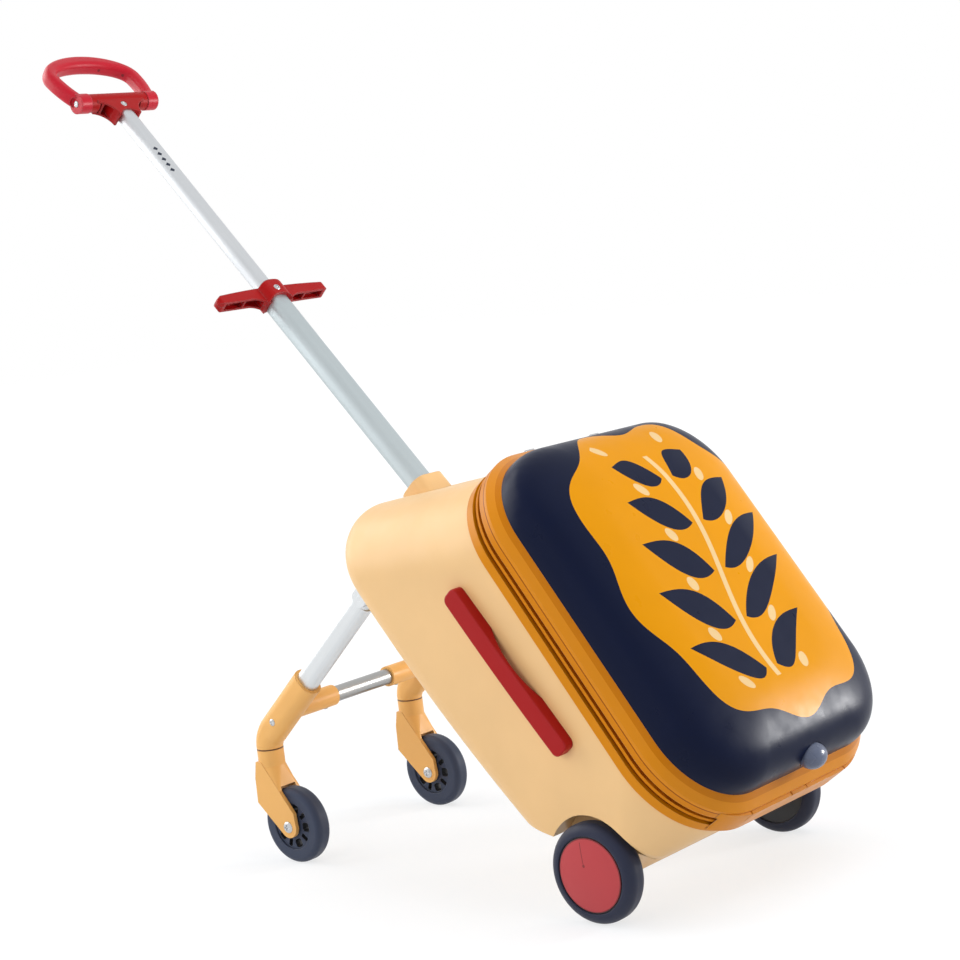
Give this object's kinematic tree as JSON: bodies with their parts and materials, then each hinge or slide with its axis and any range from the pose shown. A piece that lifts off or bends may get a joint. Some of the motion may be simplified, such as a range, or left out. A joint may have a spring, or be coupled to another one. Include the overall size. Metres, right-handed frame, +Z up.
{
  "type": "ride on suitcase",
  "caption": "Child's ride on suitcase: cream tub with a navy and orange lid, telescopic handle with a T grip and D grip, folding front legs with casters and fixed rear wheels.",
  "frame": {"origin": "on the ground under the middle of the whole, as it stands on its four wheels", "axes": "X across to the rider's right, Y forward to the casters and the handle, Z up"},
  "size_m": [0.3502, 0.9506, 0.9083],
  "materials": {
    "tub": "smooth satin cream plastic",
    "rim": "orange plastic with a soft shine",
    "seal": "dark brown rubber seal",
    "lid": "navy satin plastic",
    "tube": "anodised aluminium tube",
    "bush": "black slippery plastic",
    "steel": "plain steel",
    "grip": "red satin plastic",
    "bracket": "golden yellow satin plastic",
    "caster_tyre": "blue grey rubber",
    "caster_hub": "black plastic",
    "rear_tyre": "navy rubber",
    "rear_hub": "black plastic"
  },
  "bodies": {
    "case": {"body_shell": "tub", "body_rim": "rim", "rim_seal": "seal", "tube_collar": "tub", "guide_tube": "tube", "guide_bush": "bush", "guide_foot": "bush", "left_carry_handle": "grip", "right_carry_handle": "grip", "carry_handle_screws": "steel", "axle_beam": "tub", "rear_axle": "steel", "body_hinge_leaves": "steel", "lid_hinge_pins": "steel", "left_leg_hinge": "tub", "right_leg_hinge": "tub", "left_leg_hinge_pin": "steel", "right_leg_hinge_pin": "steel"},
    "lid": {"lid_rim": "rim", "lid_shell": "lid", "lid_hinge_leaves": "steel", "latch_cover": "rim", "latch_cup": "lid"},
    "knob": {"latch_knob": "lid"},
    "lower_stage": {"lower_tube": "tube", "lower_glide": "bush", "upper_bush": "bush", "crossbar_front": "grip", "crossbar_rear": "grip", "crossbar_screws": "steel"},
    "upper_stage": {"upper_tube": "tube", "upper_glide": "bush", "handle_base": "grip", "handle_base_screw": "steel", "loop_pivot_screws": "steel"},
    "loop": {"handle_loop": "grip"},
    "leg_frame": {"left_leg_tube": "tube", "right_leg_tube": "tube", "left_leg_knuckle": "bush", "right_leg_knuckle": "bush", "left_caster_bracket": "bracket", "right_caster_bracket": "bracket", "cross_tube": "tube", "bracket_screws": "steel", "left_swivel_pin": "steel", "right_swivel_pin": "steel"},
    "left_caster": {"left_fork": "bracket", "left_caster_bolt": "steel"},
    "left_caster_wheel": {"left_caster_tyre": "caster_tyre", "left_caster_hub": "caster_hub"},
    "left_rear_wheel": {"left_rear_tyre": "rear_tyre", "left_rear_hub": "rear_hub", "left_hub_cap": "grip"},
    "right_caster": {"right_fork": "bracket", "right_caster_bolt": "steel"},
    "right_caster_wheel": {"right_caster_tyre": "caster_tyre", "right_caster_hub": "caster_hub"},
    "right_rear_wheel": {"right_rear_tyre": "rear_tyre", "right_rear_hub": "rear_hub", "right_hub_cap": "grip"}
  },
  "joints": [
    {"name": "lid_hinge", "type": "hinge", "parent": "case", "child": "lid", "pos_m": [0, -0.18709, 0.4283], "axis": [1, 0, 0], "range_deg": [-100, 0]},
    {"name": "latch_knob_press", "type": "slide", "parent": "lid", "child": "knob", "axis": [0, 0.9114, 0.4115], "range_m": [0, 0.004], "stiffness_N_per_m": 300, "springref_m": -0.004},
    {"name": "lower_handle_slide", "type": "slide", "parent": "case", "child": "lower_stage", "axis": [0, 0.673, 0.7396], "range_m": [-0.255, 0]},
    {"name": "upper_handle_slide", "type": "slide", "parent": "lower_stage", "child": "upper_stage", "axis": [0, 0.673, 0.7396], "range_m": [-0.25, 0]},
    {"name": "loop_pivot", "type": "hinge", "parent": "upper_stage", "child": "loop", "pos_m": [0, 0.40925, 0.84836], "axis": [1, 0, 0], "range_deg": [-55, 55]},
    {"name": "leg_fold", "type": "hinge", "parent": "case", "child": "leg_frame", "pos_m": [0, -0.01462, 0.29709], "axis": [1, 0, 0], "range_deg": [-55, 0]},
    {"name": "left_caster_swivel", "type": "hinge", "parent": "leg_frame", "child": "left_caster", "pos_m": [-0.113, 0.1623, 0.1245], "axis": [0, 0, 1], "continuous": true},
    {"name": "left_caster_roll", "type": "hinge", "parent": "left_caster", "child": "left_caster_wheel", "pos_m": [-0.113, 0.1333, 0.0415], "axis": [1, 0, 0], "continuous": true},
    {"name": "left_rear_roll", "type": "hinge", "parent": "case", "child": "left_rear_wheel", "pos_m": [-0.153, -0.3127, 0.049], "axis": [1, 0, 0], "continuous": true},
    {"name": "right_caster_swivel", "type": "hinge", "parent": "leg_frame", "child": "right_caster", "pos_m": [0.113, 0.1623, 0.1245], "axis": [0, 0, 1], "continuous": true},
    {"name": "right_caster_roll", "type": "hinge", "parent": "right_caster", "child": "right_caster_wheel", "pos_m": [0.113, 0.1333, 0.0415], "axis": [1, 0, 0], "continuous": true},
    {"name": "right_rear_roll", "type": "hinge", "parent": "case", "child": "right_rear_wheel", "pos_m": [0.153, -0.3127, 0.049], "axis": [1, 0, 0], "continuous": true}
  ]
}
